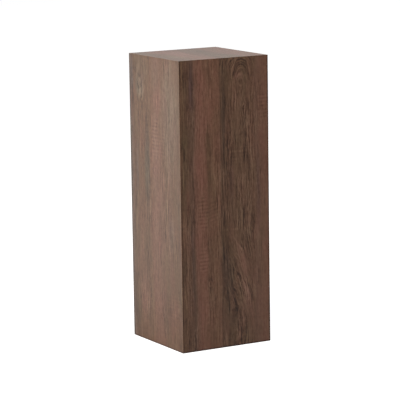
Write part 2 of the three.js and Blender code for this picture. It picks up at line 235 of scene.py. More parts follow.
def decor(name, place_uv, bands, spots=(), knots=(), saws=(), dashes=(), streaks=(), joint=None, heart=None, fan=None, seed=0.0, span=(0.0, 1000.0), rims=((0.3, 4.0),) * 4, painted_light_tint=(1.0, 1.0, 1.0), grain=1.0):
    t = Tree(name)
    x, y, z = t.split(t.place())
    u, v = place_uv(t, x, y, z)
    lo, hi = 0.0, 2000.0 * HALF

    # the sheet's own slow wander; a plank joint stays straight
    wander = t.sub(t.noise(t.xyz(t.mul(u, 0.007), t.mul(v, 0.0026), seed + 3.1), detail=1.0), 0.5)
    ripple = t.sub(t.noise(t.xyz(t.mul(u, 0.032), t.mul(v, 0.013), seed + 9.7), detail=2.0), 0.5)
    shift = t.mad(ripple, 10.0, t.mul(wander, 16.0))
    if joint is not None:
        shift = t.mul(shift, t.ease(t.math("ABSOLUTE", t.sub(u, joint)), 0.0, 22.0))
    uw = t.add(u, shift)
    # grain parts round each knot
    eyes = None
    for ku, kv, size, push, eye in knots:
        d = t.vec("LENGTH", t.xyz(t.mul(t.sub(u, ku), 1.0 / size), t.mul(t.sub(v, kv), 0.42 / size)))
        g = t.ease(d, 0.0, 2.2, 1.0, 0.0)
        uw = t.sub(uw, t.mul(t.mul(t.sub(u, ku), push), g))
        if eye:
            e = t.vec("LENGTH", t.xyz(t.mul(t.sub(u, ku), 1.0 / size), t.mul(t.sub(v, kv), 0.7 / size)))
            ring = t.mul(t.math("COSINE", t.mad(e, 6.0, t.mul(ripple, 7.0))), t.ease(e, 0.6, 1.5, -eye, 0.0))
            eyes = ring if eyes is None else t.add(eyes, ring)
    # below a point the grain runs off to one side
    uf = uw
    if fan is not None:
        fu, fv, fall, reach, push = fan
        drop = t.mul(t.ease(v, fv, fv + fall), push)
        swell = t.mul(t.ease(u, fu, fu + reach * 0.55), t.ease(u, fu + reach, fu + reach * 0.6))
        uf = t.sub(uw, t.mul(drop, swell))

    # bands of colour across the sheet; a band's alpha is how strongly it is figured
    stops = [((p - lo) / (hi - lo), wood(c)[:3] + (a,)) for p, c, a in bands]
    colour, figured = t.ramp(t.math("DIVIDE", t.sub(uw, lo), hi - lo), stops, "LINEAR")

    # soft streaks and patches
    soft = t.sub(t.noise(t.xyz(t.mul(uf, 0.07), t.mul(v, 0.014), seed + 21.0), detail=3.0), 0.5)
    vs = t.mad(soft, 70.0, v)
    us = t.mad(soft, 12.0, uw)
    for su, sv, ru, rv, lean, c, weight in spots:
        n = t.node("ShaderNodeMapping", vector_type="TEXTURE")
        t.put(t.xyz(us, vs), n.inputs["Vector"])
        n.inputs["Location"].default_value = (su, sv, 0)
        n.inputs["Rotation"].default_value = (0, 0, math.radians(-lean))
        n.inputs["Scale"].default_value = (ru, rv, 1)
        mask = t.ease(t.vec("LENGTH", n.outputs[0]), 0.25, 1.0, weight, 0.0)
        colour = t.mix(mask, colour, wood(c))

    tremor = t.sub(t.noise(t.xyz(t.mul(u, 0.09), t.mul(v, 0.03), seed + 13.0), detail=2.0), 0.5)
    line = t.mad(tremor, 4.5, uf)

    # leaning streaks, which the straight grain makes way for
    leaning, calm = None, 1.0
    for su, sv, ru, rv, lean, pitch, weight in streaks:
        a = math.radians(lean)
        across = t.sub(t.mul(line, math.cos(a)), t.mul(v, math.sin(a)))
        along = t.add(t.mul(u, math.sin(a)), t.mul(v, math.cos(a)))
        n = t.node("ShaderNodeMapping", vector_type="TEXTURE")
        t.put(t.xyz(us, vs), n.inputs["Vector"])
        n.inputs["Location"].default_value = (su, sv, 0)
        n.inputs["Rotation"].default_value = (0, 0, -a)
        n.inputs["Scale"].default_value = (ru, rv, 1)
        mask = t.ease(t.vec("LENGTH", n.outputs[0]), 0.45, 1.0, 1.0, 0.0)
        s = t.sub(t.noise(t.xyz(t.mul(across, 1.0 / pitch), t.mul(along, 0.10 / pitch), seed + 7.7 + su), detail=1.5, rough=0.6), 0.47)
        s = t.mul(t.mul(s, mask), weight)
        leaning = s if leaning is None else t.add(leaning, s)
        calm = t.mul(calm, t.mad(mask, -0.65, 1.0))

    # growth lines: straight, except near the heart of the tree, where they arch
    cloud = t.sub(t.noise(t.xyz(t.mul(u, 0.02), t.mul(v, 0.006), seed + 67.0), detail=3.0), 0.5)
    amount = t.mul(t.mul(t.mad(cloud, 1.8, 1.0), t.mad(figured, 0.8, 0.2)), calm)

    def growth(q):
        coarse = t.sub(t.noise(t.xyz(t.mul(q, 0.085), t.mul(v, 0.0026), seed + 31.0), detail=2.0, rough=0.6), 0.5)
        medium = t.sub(t.noise(t.xyz(t.mul(q, 0.19), t.mul(v, 0.008), seed + 37.0), detail=2.0, rough=0.6), 0.5)
        veins = t.ease(t.noise(t.xyz(t.mul(q, 0.15), t.mul(v, 0.0062), seed + 91.0), detail=2.0, rough=0.55), 0.45, 0.36)
        return t.mad(coarse, COARSE, t.mad(medium, MEDIUM, t.mul(veins, -VEIN)))

    def strands(q):
        return t.sub(t.noise(t.xyz(t.mul(q, 0.40), t.mul(v, 0.011), seed + 47.0), detail=1.0, rough=0.5), 0.5)

    figure, thin = growth(line), strands(line)
    if heart is not None:
        hu, hv, depth, fall, h0, h1, lop = heart
        d = t.mul(t.math("EXPONENT", t.mul(t.sub(v, hv), -1.0 / fall)), depth)
        off = t.sub(line, hu)
        off = t.mul(off, t.ease(off, -4.0, 4.0, lop, 1.0))
        arch = t.add(t.mad(tremor, 9.0, t.math("SQRT", t.add(t.mul(off, off), t.mul(d, d)))), hu)
        within = t.mul(t.ease(u, h0 - 1, h0 + 1), t.ease(u, h1 + 8, h1 - 8))
        within = t.mul(within, t.ease(d, 4.0, 16.0))
        figure = t.mad(t.sub(t.mul(growth(arch), 2.7), figure), within, figure)
        thin = t.mad(t.sub(strands(arch), thin), within, thin)
    broken = t.sub(t.noise(t.xyz(t.mul(line, 0.34), t.mul(v, 0.06), seed + 83.0), detail=3.0, rough=0.7), 0.5)
    fine = t.sub(t.noise(t.xyz(t.mul(line, 0.62), t.mul(v, 0.014), seed + 43.0), detail=3.0, rough=0.6), 0.5)
    pores = t.ease(t.noise(t.xyz(t.mul(line, 1.9), t.mul(v, 0.05), seed + 57.0), detail=2.0, rough=0.55), 0.60, 0.72)
    mottle = t.sub(t.noise(t.xyz(t.mul(u, 0.11), t.mul(v, 0.07), seed + 101.0), detail=2.0, rough=0.6), 0.5)

    # the grain is crisp in places and worn smooth in others
    crisp = t.ease(t.noise(t.xyz(t.mul(u, 0.019), t.mul(v, 0.0085), seed + 121.0), detail=2.0), 0.36, 0.62, 0.45, 1.5)
    shade = t.mad(figure, amount, 1.0)
    shade = t.mad(t.mul(t.mul(broken, crisp), t.mad(figured, 0.78, 0.22)), BROKEN * grain, shade)
    shade = t.mad(t.mul(t.mul(thin, crisp), t.mad(figured, 0.85, 0.15)), THIN * grain, shade)
    shade = t.mad(t.mul(t.mul(fine, crisp), t.mad(figured, 0.6, 0.4)), FINE * grain, shade)
    shade = t.mad(pores, -0.2, shade)
    shade = t.mad(mottle, MOTTLE * grain, shade)
    shade = t.mad(cloud, 0.14, shade)
    if leaning is not None:
        shade = t.add(shade, leaning)
    if eyes is not None:
        shade = t.add(shade, eyes)

    # saw marks: ripples across the grain
    ripples = None
    if saws:
        phase = t.noise(t.xyz(t.mul(u, 0.016), t.mul(v, 0.011), seed + 71.0), detail=1.0)
        gaps = t.ease(t.noise(t.xyz(t.mul(u, 0.05), t.mul(v, 0.05), seed + 73.0), detail=2.0), 0.34, 0.62, 0.35, 1.2)
        for su, sv, ru, rv, slant, weight in saws:
            n = t.vec("LENGTH", t.xyz(t.mul(t.sub(uw, su), 1.0 / ru), t.mul(t.sub(v, sv), 1.0 / rv)))
            mask = t.mul(t.ease(n, 0.6, 1.0, weight, 0.0), gaps)
            wave = t.math("SINE", t.mad(phase, 4.0, t.mul(t.mad(u, slant, v), 2 * math.pi / SAW_PITCH)))
            one = t.mul(wave, mask)
            ripples = one if ripples is None else t.add(ripples, one)
        shade = t.mad(ripples, SAW, shade)
    for du, dv, ru, weight in dashes:
        waver = t.mad(tremor, 5.0, t.sub(v, dv))
        band = t.mul(t.ease(t.math("ABSOLUTE", waver), 1.5, 6.0, weight, 0.0), t.ease(t.math("ABSOLUTE", t.sub(u, du)), ru * 0.6, ru, 1.0, 0.0))
        shade = t.mad(band, t.ease(thin, -0.08, 0.10, 0.15, 1.25), shade)
    if joint is not None:
        shade = t.mul(shade, t.ease(t.math("ABSOLUTE", t.sub(u, joint)), 0.3, 1.8, 0.72, 1.0))

    # each arris: the colour is darkened in a band along it; a negative weight lightens it instead, a painted highlight
    # where the arris catches the light
    v0, v1 = span
    for (w, wide), d in zip(rims, (t.sub(u, lo), t.sub(hi, u), t.sub(v, v0), t.sub(v1, v))):
        if w:
            shade = t.mul(shade, t.ease(d, wide * 0.3, wide, 1.0 - w, 1.0))

    # light grain is greyer, dark grain keeps the ground colour
    hue = t.sub(t.noise(t.xyz(t.mul(uw, 0.035), t.mul(v, 0.009), seed + 111.0), detail=2.0), 0.5)
    lift = t.math("MAXIMUM", shade, 0.2)
    # painted light: each face's tint scales its colour, the front a little brighter, the left greyer and the top
    # lighter and greyer, standing in for the light and the sheen that fall on each face
    cr, cg, cb = painted_light_tint
    tint = t.xyz(t.mul(t.math("POWER", lift, 0.82), t.mad(hue, 0.30 * cr, cr)), t.mul(lift, cg), t.mul(t.math("POWER", lift, 1.18), t.mad(hue, 0.22 * cb, cb)))
    colour = t.mix(1.0, colour, tint, "MULTIPLY")

    rough = t.mad(pores, 0.16, t.mad(fine, 0.12, 0.46))
    height = t.mad(pores, -0.7, t.mul(fine, 0.6))
    if ripples is not None:
        height = t.mad(ripples, 0.25, height)
    normal = t.bump(height, 0.00012, 0.6)
    return t.finish(colour, rough, normal=normal)


COARSE, MEDIUM, THIN, BROKEN, FINE, VEIN, MOTTLE = 0.42, 0.42, 2.35, 1.6, 1.35, 0.12, 0.75
SAW, SAW_PITCH = 0.14, 12.9
mm = 1000.0


def uv_front(t, x, y, z):
    return t.mad(x, mm, HALF * mm), t.mad(z, -mm, HEIGHT * mm)


def uv_left(t, x, y, z):
    return t.mad(y, -mm, HALF * mm), t.mad(z, -mm, HEIGHT * mm)


def uv_back(t, x, y, z):
    return t.mad(x, -mm, HALF * mm), t.mad(z, -mm, HEIGHT * mm)


def uv_right(t, x, y, z):
    return t.mad(y, mm, HALF * mm), t.mad(z, -mm, HEIGHT * mm)


def uv_top(t, x, y, z):
    return t.mad(x, mm, HALF * mm), t.mad(y, -mm, -HALF * mm)


FRONT_BANDS = [
    (0, (81, 61, 49), 0.9), (12, (84, 64, 51), 0.8), (28, (82, 62, 51), 1.0), (53, (83, 63, 53), 0.9), (58, (94, 69, 58), 0.35),
    (76, (99, 70, 59), 0.2), (102, (97, 70, 58), 0.2), (108, (89, 66, 54), 0.5), (138, (92, 68, 55), 0.45),
    (157.9, (90, 67, 55), 0.6), (158.1, (80, 61, 50), 1.0), (182, (81, 61, 50), 1.2), (205, (86, 65, 53), 1.2),
    (235, (87, 66, 54), 1.2), (262, (87, 66, 54), 1.1), (288, (88, 66, 54), 0.8), (298, (91, 68, 57), 0.4), (322, (95, 70, 58), 0.22),
    (340, (97, 69, 57), 0.2), (350, (92, 66, 54), 0.3),
]
FRONT_SPOTS = [
    (44, 80, 10, 140, 0, (72, 56, 51), 0.9),
    (112, 350, 10, 190, 0, UMBER, 0.6),
    (128, 130, 34, 170, 0, REDDISH, 0.8),
    (136, 330, 12, 120, 0, REDDISH, 0.5),
    (22, 330, 20, 150, 0, (78, 62, 49), 0.6),
    (30, 490, 9, 90, 0, REDDISH, 0.6),
    (46, 700, 9, 200, 0, (77, 60, 53), 0.7),
    (225, 62, 18, 26, 20, ROSE, 0.6),
    (170, 210, 9, 240, 0, (70, 55, 47), 0.8),
    (200, 420, 16, 110, 0, (78, 60, 52), 0.5),
    (178, 620, 22, 90, 8, DEEP, 0.7),
    (186, 760, 30, 120, 8, (68, 53, 45), 0.85),
    (200, 880, 34, 90, 12, (72, 56, 46), 0.7),
    (240, 700, 16, 100, 18, (104, 76, 64), 0.6),
    (262, 830, 22, 90, 18, ROSE, 0.55),
    (305, 450, 11, 190, 0, PLUM, 0.7),
    (120, 960, 50, 110, 0, (92, 66, 54), 0.5),
]
LEFT_BANDS = [
    (0, (82, 70, 62), 0.8), (12, (85, 67, 57), 0.8), (28, (81, 61, 49), 0.7), (48, (86, 65, 52), 0.6),
    (72, (88, 65, 52), 0.6), (98, (86, 64, 51), 0.7), (128, (86, 65, 52), 0.8), (150, (91, 67, 54), 0.5),
    (172, (94, 69, 57), 0.4), (205, (94, 69, 57), 0.4), (228, (91, 67, 55), 0.6), (252, (89, 67, 54), 0.6),
    (280, (90, 67, 55), 0.5), (306, (88, 66, 53), 0.6), (334, (86, 65, 53), 0.5), (350, (86, 66, 53), 0.4),
]
LEFT_SPOTS = [
    (22, 70, 16, 90, 0, (78, 66, 62), 0.6),
    (74, 104, 36, 64, 0, (94, 77, 65), 0.7),
    (120, 380, 27, 200, 0, (76, 63, 52), 0.85),
    (48, 400, 12, 130, 0, (82, 66, 60), 0.5),
    (180, 330, 32, 200, 0, (98, 73, 62), 0.5),
    (184, 50, 40, 100, 0, (90, 70, 58), 0.7),
    (84, 50, 60, 90, 0, (88, 70, 58), 0.5),
    (285, 190, 80, 280, 0, (93, 75, 63), 0.7),
    (20, 900, 24, 90, 20, (72, 56, 48), 0.7),
    (62, 640, 40, 180, 0, (88, 65, 52), 0.5),
    (100, 850, 60, 150, 0, (98, 71, 59), 0.5),
    (285, 600, 30, 90, 0, (88, 70, 60), 0.5),
    (338, 520, 10, 320, 0, (80, 61, 50), 0.5),
    (240, 880, 50, 150, 0, (84, 65, 54), 0.4),
    (300, 900, 60, 110, 0, (92, 66, 55), 0.5),
]
RIGHT_BANDS = [
    (0, (92, 66, 54), 0.4), (20, (97, 70, 58), 0.35), (60, (95, 69, 57), 0.4), (84, (88, 66, 54), 0.7), (110, (83, 63, 51), 0.9),
    (136.9, (84, 63, 51), 0.9), (137.1, (93, 68, 56), 0.5), (165, (98, 70, 58), 0.35), (200, (97, 70, 59), 0.3),
    (228, (89, 66, 54), 0.6), (262, (83, 63, 51), 1.0), (300, (86, 66, 54), 1.1), (330, (84, 63, 51), 0.9), (350, (81, 62, 50), 0.8),
]
RIGHT_SPOTS = [
    (250, 260, 26, 170, 4, UMBER, 0.5),
    (290, 640, 30, 180, -6, DEEP, 0.55),
    (190, 700, 28, 180, 0, ROSE, 0.5),
    (60, 330, 24, 220, 0, ROSE, 0.5),
    (115, 780, 20, 150, 0, DEEP, 0.6),
    (40, 830, 30, 120, 0, BROWN, 0.5),
    (20, 480, 12, 140, 0, PLUM, 0.6),
    (320, 330, 14, 140, 0, PLUM, 0.5),
]
BACK_BANDS = [
    (0, (83, 64, 52), 0.9), (35, (86, 65, 53), 0.9), (62, (93, 68, 56), 0.45), (95, (98, 70, 59), 0.3), (128, (96, 69, 57), 0.35),
    (150, (88, 66, 54), 0.7), (182, (83, 63, 51), 1.1), (210, (84, 64, 52), 1.1), (211.9, (85, 64, 52), 0.9),
    (212.1, (92, 68, 55), 0.5), (246, (97, 70, 58), 0.35), (285, (92, 67, 56), 0.45), (318, (85, 65, 53), 0.9), (350, (81, 62, 50), 0.9),
]
BACK_SPOTS = [
    (180, 240, 28, 150, 0, DEEP, 0.5),
    (100, 560, 30, 200, 0, ROSE, 0.6),
    (160, 820, 30, 140, -8, DEEP, 0.6),
    (262, 300, 24, 200, 0, ROSE, 0.5),
    (330, 600, 20, 240, 0, UMBER, 0.5),
    (25, 760, 20, 180, 0, PLUM, 0.5),
    (300, 860, 26, 110, 14, ROSE, 0.5),
]
TOP_BANDS = [
    (0, (86, 68, 57), 0.5), (30, (86, 68, 57), 0.6), (55, (88, 69, 57), 0.5), (75, (93, 69, 58), 0.35), (120, (95, 70, 59), 0.35),
    (150, (91, 69, 58), 0.45), (165, (86, 67, 56), 0.6), (200, (85, 67, 56), 0.7), (235, (86, 67, 56), 0.6), (262, (91, 69, 58), 0.45),
    (300, (93, 69, 58), 0.45), (335, (95, 70, 59), 0.4), (350, (92, 68, 57), 0.5),
]
TOP_SPOTS = [
    (120, -240, 46, 90, 0, (102, 76, 67), 0.5),
    (210, -230, 30, 130, 0, (86, 70, 60), 0.5),
    (285, -90, 34, 110, 0, (98, 72, 63), 0.5),
    (60, -110, 34, 110, 0, (90, 73, 60), 0.5),
]

FULL = (0.0, 1000.0 * HEIGHT)
MAT = {
    "front": decor(
        "decor_front", uv_front, FRONT_BANDS, FRONT_SPOTS,
        knots=[(240, 84, 13, 0.8, 0.20), (252, 168, 9, 0.8, 0.24), (205, 30, 12, 0.6, 0.0), (112, 770, 11, 0.8, 0.28)],
        saws=[(88, 525, 24, 80, 0.0, 1.2), (88, 688, 24, 55, 0.0, 1.0), (130, 525, 26, 52, 0.25, 0.8), (328, 175, 26, 58, 0.0, 1.1), (236, 340, 44, 50, 0.0, 0.5)],
        dashes=[(222, 322, 62, 0.26), (196, 590, 40, 0.40)],
        streaks=[(218, 690, 48, 150, 20, 6.5, 1.5), (256, 815, 54, 160, 17, 7.0, 1.4), (235, 955, 70, 60, -14, 7.0, 1.0)],
        # painted light: the front's tint makes it a little brighter
        joint=158.0, heart=(236, -16, 68, 48, 158, 292, 1.35), fan=(158, 590, 280, 176, 52), seed=1.7, span=FULL, rims=((0.34, 9.0), (0.50, 8.0), (0.30, 4.5), (0.56, 8.0)), painted_light_tint=(1.07, 1.08, 1.08),
    ),
    "left": decor(
        "decor_left", uv_left, LEFT_BANDS, LEFT_SPOTS,
        knots=[(72, 92, 18, 0.8, 0.36), (88, 146, 12, 0.7, 0.26), (285, 545, 9, 0.6, 0.16)],
        saws=[(180, 275, 30, 95, 0.0, 1.3), (232, 300, 30, 60, 0.0, 0.8), (300, 850, 60, 60, 0.0, 0.5), (120, 250, 26, 60, 0.0, 0.5)],
        dashes=[(230, 298, 34, -0.08)],
        streaks=[(30, 890, 36, 100, 22, 9.0, 1.4), (72, 112, 44, 60, -38, 10.0, 1.8)],
        # painted sheen: the left's tint makes it greyer
        # the left's second rim has a negative weight: a painted highlight along its arris beside the front
        seed=5.3, span=FULL, rims=((0.42, 13.0), (-0.10, 7.0), (0.10, 12.0), (0.46, 7.0)), painted_light_tint=(0.94, 1.02, 1.07), grain=1.1,
    ),
    "right": decor(
        "decor_right", uv_right, RIGHT_BANDS, RIGHT_SPOTS,
        knots=[(272, 420, 11, 0.7, 0.20), (120, 150, 9, 0.7, 0.16)],
        saws=[(185, 300, 30, 80, 0.0, 1.0), (50, 620, 26, 90, 0.1, 0.9)],
        dashes=[(280, 500, 50, 0.18)],
        streaks=[(270, 760, 46, 130, -16, 11.0, 1.2), (290, 430, 40, 90, 14, 9.0, 0.8)],
        joint=137.0, heart=(276, 470, 50, 70, 212, 345, 1.4), seed=11.9, span=FULL, rims=((0.30, 6.0), (0.30, 6.0), (0.3, 4.5), (0.40, 5.0)),
    ),
    "back": decor(
        "decor_back", uv_back, BACK_BANDS, BACK_SPOTS,
        knots=[(186, 330, 11, 0.8, 0.22), (330, 120, 9, 0.7, 0.14)],
        saws=[(104, 240, 26, 90, 0.0, 1.1), (262, 740, 30, 80, 0.0, 0.9)],
        dashes=[(170, 610, 40, 0.18)],
        streaks=[(180, 700, 44, 120, 18, 11.0, 1.1), (60, 300, 40, 110, -14, 10.0, 0.7)],
        joint=212.0, heart=(180, 60, 60, 60, 132, 212, 0.7), seed=17.3, span=FULL, rims=((0.30, 6.0), (0.30, 6.0), (0.3, 4.5), (0.40, 5.0)),
    ),
    "top": decor(
        "decor_top", uv_top, TOP_BANDS, TOP_SPOTS,
        knots=[(212, -60, 12, 0.7, 0.14)],
        saws=[(115, -210, 36, 70, 0.0, 0.5)],
        streaks=[(230, -90, 50, 90, 14, 9.0, 0.6)],
        # painted sheen: the top's tint makes it lighter and greyer than the sides
        joint=158.0, seed=1.7, span=(-2000.0 * HALF, 0.0), rims=((0.1, 4.0), (0.34, 5.0), (0.4, 8.0), (0.0, 3.0)), painted_light_tint=(1.275, 1.33, 1.33), grain=1.2,
    ),
}


# ---- The other materials ------------------------------------------------------------------
def plain_core():
    """Cut board: pressed chips between two denser skins."""
    t = Tree("chipboard")
    p = t.place()
    chips = t.cells(t.vec("MULTIPLY", p, (460.0, 400.0, 900.0)), out="Color")
    tone, kind, _ = t.split(chips)
    small = t.cells(t.vec("MULTIPLY", t.vec("ADD", p, (0.31, 0.17, 0.05)), (1250.0, 1100.0, 1250.0)), out="Color")
    grain, _, _ = t.split(small)
    dust = t.noise(p, scale=2600.0, detail=3.0, rough=0.6)
    colour, _ = t.ramp(t.mad(grain, 0.45, t.mul(tone, 0.55)), [(0.0, rgb(136, 106, 70)), (0.3, rgb(163, 131, 90)), (0.6, rgb(182, 150, 108)), (0.85, rgb(199, 170, 128)), (1.0, rgb(214, 190, 152))])
    colour = t.mix(t.ease(kind, 0.86, 0.9, 0.0, 0.6), colour, rgb(96, 68, 44))
    colour = t.mix(1.0, colour, t.xyz(*[t.mad(dust, 0.5, 0.75)] * 3), "MULTIPLY")
    height = t.mad(grain, 0.5, dust)
    return t.finish(colour, 0.86, normal=t.bump(height, 0.00025, 0.7), specular=0.3)


def edging():
    """Edging strip: through-coloured, with fine straight lines printed along it."""
    t = Tree("decor_edging")
    x, y, z = t.split(t.place())
    along = t.math("MAXIMUM", t.math("ABSOLUTE", x), t.math("ABSOLUTE", y))
    line = t.noise(t.xyz(t.mul(t.math("MINIMUM", t.math("ABSOLUTE", x), t.math("ABSOLUTE", y)), 9.0), t.mul(along, 700.0), t.mul(z, 500.0)), detail=3.0, rough=0.6)
    patch = t.noise(t.vec("MULTIPLY", t.place(), (24.0, 24.0, 24.0)), detail=2.0)
    colour = t.mix(t.mad(line, 0.7, t.mul(patch, 0.3)), wood((66, 50, 41)), wood((100, 75, 61)))
    return t.finish(colour, t.mad(line, 0.15, 0.4), normal=t.bump(line, 0.00005, 0.5))


def backing():
    """The plain foil on a board's hidden face."""
    t = Tree("backing_foil")
    p = t.place()
    fibre = t.noise(t.vec("MULTIPLY", p, (420.0, 420.0, 30.0)), detail=3.0, rough=0.6)
    patch = t.noise(p, scale=14.0, detail=2.0)
    colour = t.mix(t.mad(patch, 0.5, t.mul(fibre, 0.5)), rgb(92, 74, 60), rgb(128, 106, 88))
    return t.finish(colour, t.mad(fibre, 0.15, 0.6), normal=t.bump(fibre, 0.00006, 0.5), specular=0.35)


def softwood(name, along, dark, light, ring=230.0, seed=0.0, rough=0.68):
    """Planed timber; along is the axis its grain follows."""
    t = Tree(name)
    x, y, z = t.split(t.place())
    axes = {"X": (x, y, z), "Y": (y, x, z), "Z": (z, x, y)}[along]
    a, b, c = axes
    bend = t.noise(t.xyz(t.mul(a, 2.2), t.mul(b, 9.0), t.mad(c, 9.0, seed)), detail=1.0)
    r = t.vec("LENGTH", t.xyz(t.add(b, 0.31 + seed * 0.01), t.add(c, 0.27), 0.0))
    q = t.mad(bend, 0.012, r)
    rings = t.math("FRACT", t.mul(q, ring))
    late = t.mul(t.ease(rings, 0.35, 0.93), t.ease(rings, 1.0, 0.94))
    fibre = t.noise(t.xyz(t.mul(a, 26.0), t.mul(b, 900.0), t.mul(c, 900.0)), detail=3.0, rough=0.6)
    patch = t.noise(t.xyz(t.mul(a, 5.0), t.mul(b, 20.0), t.mul(c, 20.0)), detail=2.0)
    colour = t.mix(t.mad(late, 0.75, t.mul(patch, 0.2)), rgb(*light), rgb(*dark))
    colour = t.mix(1.0, colour, t.xyz(*[t.mad(fibre, 0.32, 0.84)] * 3), "MULTIPLY")
    return t.finish(colour, t.mad(fibre, 0.15, rough - 0.05), normal=t.bump(t.mad(fibre, 0.7, t.mul(late, 0.4)), 0.00012, 0.6), specular=0.35)


def beech():
    """Pressed beech: short flecks and a stamped diagonal grid."""
    t = Tree("beech")
    p = t.place()
    x, y, z = t.split(p)
    fleck = t.ease(t.noise(t.vec("MULTIPLY", p, (700.0, 700.0, 210.0)), detail=2.0), 0.55, 0.68)
    fibre = t.noise(t.vec("MULTIPLY", p, (500.0, 500.0, 120.0)), detail=3.0)
    s = t.math("PINGPONG", t.add(t.add(x, y), t.mul(z, 1.4)), 0.0016)
    q = t.math("PINGPONG", t.sub(t.add(x, y), t.mul(z, 1.4)), 0.0016)
    grid = t.math("MINIMUM", t.ease(s, 0.0, 0.0004), t.ease(q, 0.0, 0.0004))
    colour = t.mix(fibre, rgb(176, 132, 88), rgb(214, 176, 130))
    colour = t.mix(t.mul(fleck, 0.6), colour, rgb(140, 94, 58))
    colour = t.mix(t.mad(grid, -0.25, 0.25), colour, rgb(120, 84, 54))
    return t.finish(colour, 0.74, normal=t.bump(t.mad(grid, 1.0, t.mul(fibre, 0.3)), 0.00015, 0.6), specular=0.3)


def zinc():
    """Bright zinc plate with handling marks."""
    t = Tree("zinc_steel")
    p = t.place()
    haze = t.noise(p, scale=180.0, detail=4.0, rough=0.6)
    speck = t.noise(p, scale=1500.0, detail=2.0)
    spangle, _, _ = t.split(t.cells(p, scale=520.0, out="Color"))
    colour = t.mix(haze, rgb(176, 180, 184), rgb(214, 215, 214))
    colour = t.mix(t.ease(speck, 0.62, 0.75, 0.0, 0.35), colour, rgb(128, 124, 112))
    rough = t.mad(haze, 0.22, t.mad(spangle, 0.08, 0.2))
    return t.finish(colour, rough, metal=1.0, normal=t.bump(t.mad(speck, 0.4, haze), 0.00004, 0.4))


def nylon():
    """Black moulded nylon, fine matte texture, dusty where it meets the floor."""
    t = Tree("black_nylon")
    p = t.place()
    x, y, z = t.split(p)
    grain = t.noise(p, scale=2400.0, detail=2.0)
    scuff = t.noise(p, scale=160.0, detail=4.0, rough=0.65)
    dust = t.mul(t.ease(scuff, 0.48, 0.7), 0.35)
    colour = t.mix(dust, rgb(30, 30, 32), rgb(92, 88, 82))
    return t.finish(colour, t.mad(scuff, 0.2, 0.42), normal=t.bump(t.mad(grain, 0.8, t.mul(scuff, 0.3)), 0.00006, 0.6))


CORE = plain_core()
BACKING = backing()
EDGING = edging()
PINE_Z = softwood("pine_upright", "Z", (176, 128, 76), (222, 188, 138), seed=0.4)
PINE_X = softwood("pine_across_x", "X", (170, 124, 74), (224, 190, 142), seed=1.9)
PINE_Y = softwood("pine_across_y", "Y", (172, 124, 74), (220, 186, 136), seed=3.2)
BEECH = beech()
ZINC = zinc()
NYLON = nylon()


# ---- Mesh helpers -------------------------------------------------------------------------
def mesh_object(name, verts, faces, mats=(), slots=None, smooth=True):
    me = bpy.data.meshes.new(name)
    me.from_pydata([tuple(v) for v in verts], [], faces)
    bm = bmesh.new()
    bm.from_mesh(me)
    bmesh.ops.recalc_face_normals(bm, faces=bm.faces)
    bm.to_mesh(me)
    bm.free()
    for m in mats:
        me.materials.append(m)
    if slots:
        for p, s in zip(me.polygons, slots):
            p.material_index = s
    if smooth:
        me.polygons.foreach_set("use_smooth", [True] * len(me.polygons))
    me.update()
    o = bpy.data.objects.new(name, me)
    scene.collection.objects.link(o)
    return o


def sharpen(o, degrees=30.0):
    """Marks edges sharper than this, so that flats stay flat beside rounded arrises."""
    me = o.data
    bm = bmesh.new()
    bm.from_mesh(me)
    limit = math.radians(degrees)
    for e in bm.edges:
        if len(e.link_faces) == 2 and e.calc_face_angle(0.0) > limit:
            e.smooth = False
    bm.to_mesh(me)
    bm.free()
    w = o.modifiers.new("flats", "WEIGHTED_NORMAL")
    w.keep_sharp = True
    w.weight = 100


class Weld:
    """Collects faces over shared points and drops any that collapse."""

    def __init__(self):
        self.points, self.index, self.faces, self.slots = [], {}, [], []

    def at(self, p):
        key = tuple(round(c * 1e7) for c in p)
        if key not in self.index:
            self.index[key] = len(self.points)
            self.points.append(tuple(p))
        return self.index[key]

    def face(self, pts, slot=0):
        ids = []
        for p in pts:
            i = self.at(p)
            if i not in ids:
                ids.append(i)
        if len(ids) > 2:
            self.faces.append(ids)
            self.slots.append(slot)


def stations(lo, hi, steps_flat, arc=5, ends=(True, True)):
    """(flat position, arc angle) along one direction of a face, rounded at its ends."""
    out = []
    if ends[0]:
        out += [(lo, -math.radians(45) * (arc - i) / arc) for i in range(arc)]
    out += [(lo + (hi - lo) * i / steps_flat, 0.0) for i in range(steps_flat + 1)]
    if ends[1]:
        out += [(hi, math.radians(45) * (i + 1) / arc) for i in range(arc)]
    return out


